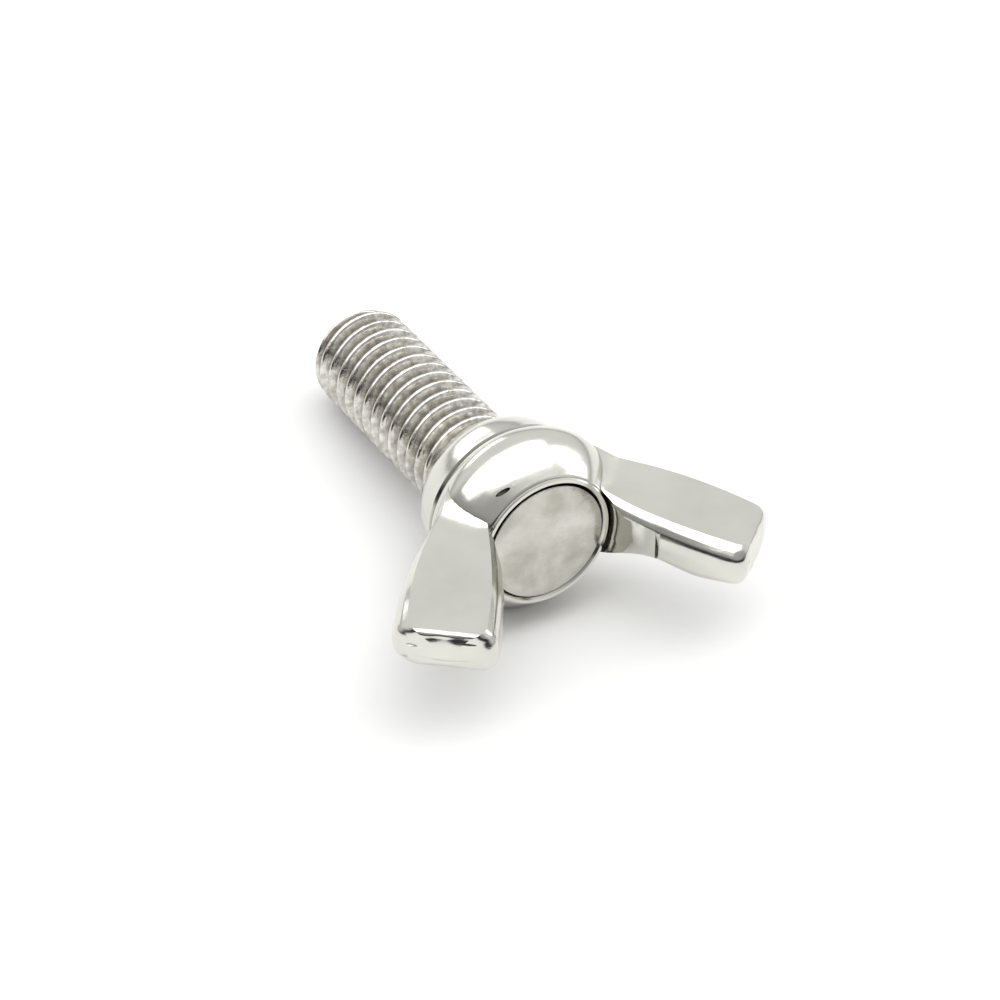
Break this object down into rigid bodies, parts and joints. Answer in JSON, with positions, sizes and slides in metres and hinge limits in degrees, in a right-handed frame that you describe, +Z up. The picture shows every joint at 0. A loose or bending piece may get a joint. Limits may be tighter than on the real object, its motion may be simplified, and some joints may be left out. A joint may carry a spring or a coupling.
{
  "type": "wing screw",
  "caption": "Cast metal wing head with two blades leaning outwards, holding a fully threaded metric stud, tightened by thumb and finger.",
  "frame": {"origin": "on the surface that the screw lies on, under the middle of its bounding box", "axes": "+X across the two wings, +Y from the head towards the tip of the stud, +Z up; the screw's own axis lies in the YZ plane and falls 7.4 degrees from the head to the tip, because the head is wider than the stud"},
  "size_m": [0.0224, 0.0292, 0.0107],
  "materials": {
    "polished_casting": "cast stainless steel, tumbled and polished, satin flat faces and bright rounded edges",
    "rolled_thread": "rolled stainless steel thread with a turned end face, satin"
  },
  "bodies": {
    "root": {"wing_head": "polished_casting", "threaded_stud": "rolled_thread"}
  },
  "joints": []
}
